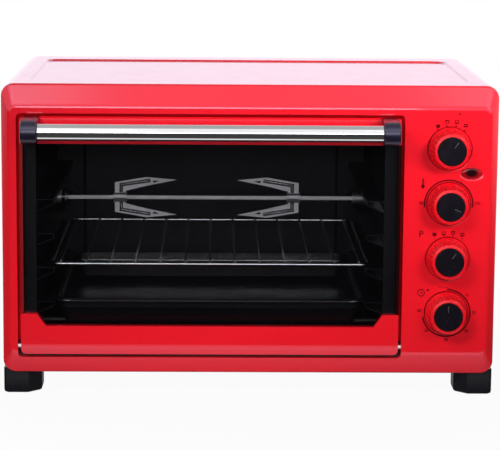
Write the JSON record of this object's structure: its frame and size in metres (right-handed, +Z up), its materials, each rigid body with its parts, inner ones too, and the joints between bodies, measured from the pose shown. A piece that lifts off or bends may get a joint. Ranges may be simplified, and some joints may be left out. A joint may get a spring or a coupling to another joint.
{
  "type": "mini oven",
  "caption": "Bench-top mini oven with a drop-down glass door, bar handle, control knobs, rotisserie spit, wire rack, baking tray and crumb tray.",
  "frame": {"origin": "on the worktop, under the middle of the overall box from the handle's nose to the gland's end", "axes": "+X to the right seen from the front, +Y towards the back, +Z up; the door looks along -Y"},
  "size_m": [0.54, 0.4082, 0.344],
  "materials": {
    "red_enamel": "glossy red stove enamel on sheet steel",
    "red_plastic": "glossy red moulding",
    "black_plastic": "satin black moulding",
    "chrome": "bright chrome plate",
    "bright_steel": "bright plated steel",
    "liner_steel": "dull coated sheet steel",
    "galvanised": "galvanised sheet steel",
    "black_enamel": "glossy black enamel",
    "element_sheath": "dull oxidised steel sheath",
    "door_glass": "clear tempered glass, dark from the space behind it",
    "red_lens": "clear red window",
    "pale_moulding": "pale heat-proof moulding"
  },
  "bodies": {
    "housing": {"front_frame": "red_enamel", "outer_wrap": "red_enamel", "rear_panel": "galvanised", "base_plate": "galvanised", "foot_front_left": "black_plastic", "foot_front_right": "black_plastic", "foot_rear_left": "black_plastic", "foot_rear_right": "black_plastic", "cavity_front_flange": "liner_steel", "cavity_left_wall": "liner_steel", "cavity_right_wall": "liner_steel", "cavity_roof": "liner_steel", "cavity_floor": "liner_steel", "cavity_rear_wall": "liner_steel", "element_lower_front": "element_sheath", "element_lower_rear": "element_sheath", "element_upper_front": "element_sheath", "element_upper_rear": "element_sheath", "spit_bearing": "bright_steel", "rotisserie_motor": "galvanised", "pilot_lens": "red_lens", "pilot_lamp": "pale_moulding", "supply_gland": "black_plastic", "terminal_block": "pale_moulding", "heating_switch": "pale_moulding", "thermostat": "pale_moulding", "programme_switch": "pale_moulding", "timer_movement": "pale_moulding"},
    "door": {"door_glass": "door_glass", "door_lower_rail": "red_enamel", "door_upper_rail": "red_enamel", "door_edge_strip_left": "red_enamel", "door_edge_strip_right": "red_enamel", "handle_bracket_left": "black_plastic", "handle_bracket_right": "black_plastic", "handle_bar": "chrome", "hinge_pin_left": "bright_steel", "hinge_pin_right": "bright_steel"},
    "heating_control": {"heating_knob": "red_plastic", "heating_knob_cap": "black_plastic", "heating_shaft": "bright_steel"},
    "temperature_control": {"temperature_knob": "red_plastic", "temperature_knob_cap": "black_plastic", "temperature_shaft": "bright_steel"},
    "programme_control": {"programme_knob": "red_plastic", "programme_knob_cap": "black_plastic", "programme_shaft": "bright_steel"},
    "timer_control": {"timer_knob": "red_plastic", "timer_knob_cap": "black_plastic", "timer_shaft": "bright_steel"},
    "spit": {"spit_rod": "bright_steel", "spit_drive_socket": "bright_steel", "spit_fork_left": "bright_steel", "spit_fork_right": "bright_steel", "fork_thumbscrew_left": "bright_steel", "fork_thumbscrew_right": "bright_steel"},
    "rack": {"wire_rack": "bright_steel"},
    "tray": {"baking_tray": "black_enamel"},
    "crumbs": {"crumb_tray": "liner_steel"}
  },
  "joints": [
    {"name": "door_hinge", "type": "hinge", "parent": "housing", "child": "door", "pos_m": [-0.0428, -0.15005, 0.056], "axis": [1, 0, 0], "range_deg": [0, 90], "stiffness_Nm_per_rad": 0.6, "springref_deg": -20.05},
    {"name": "heating_turn", "type": "hinge", "parent": "housing", "child": "heating_control", "pos_m": [0.2163, -0.15405, 0.2763], "axis": [0, 1, 0], "range_deg": [-71, 0]},
    {"name": "temperature_turn", "type": "hinge", "parent": "housing", "child": "temperature_control", "pos_m": [0.2163, -0.15405, 0.2159], "axis": [0, 1, 0], "range_deg": [-230, 0]},
    {"name": "programme_turn", "type": "hinge", "parent": "housing", "child": "programme_control", "pos_m": [0.2163, -0.15405, 0.1555], "axis": [0, 1, 0], "range_deg": [-71, 0]},
    {"name": "timer_turn", "type": "hinge", "parent": "housing", "child": "timer_control", "pos_m": [0.2163, -0.15405, 0.0951], "axis": [0, 1, 0], "range_deg": [0, 265]},
    {"name": "spit_turn", "type": "hinge", "parent": "housing", "child": "spit", "pos_m": [-0.0428, 0.03095, 0.1938], "axis": [1, 0, 0], "continuous": true},
    {"name": "rack_slide", "type": "slide", "parent": "housing", "child": "rack", "axis": [0, -1, 0], "range_m": [0, 0.012]},
    {"name": "tray_slide", "type": "slide", "parent": "housing", "child": "tray", "axis": [0, -1, 0], "range_m": [0, 0.008]},
    {"name": "crumb_slide", "type": "slide", "parent": "housing", "child": "crumbs", "axis": [0, -1, 0], "range_m": [0, 0.0085]}
  ]
}
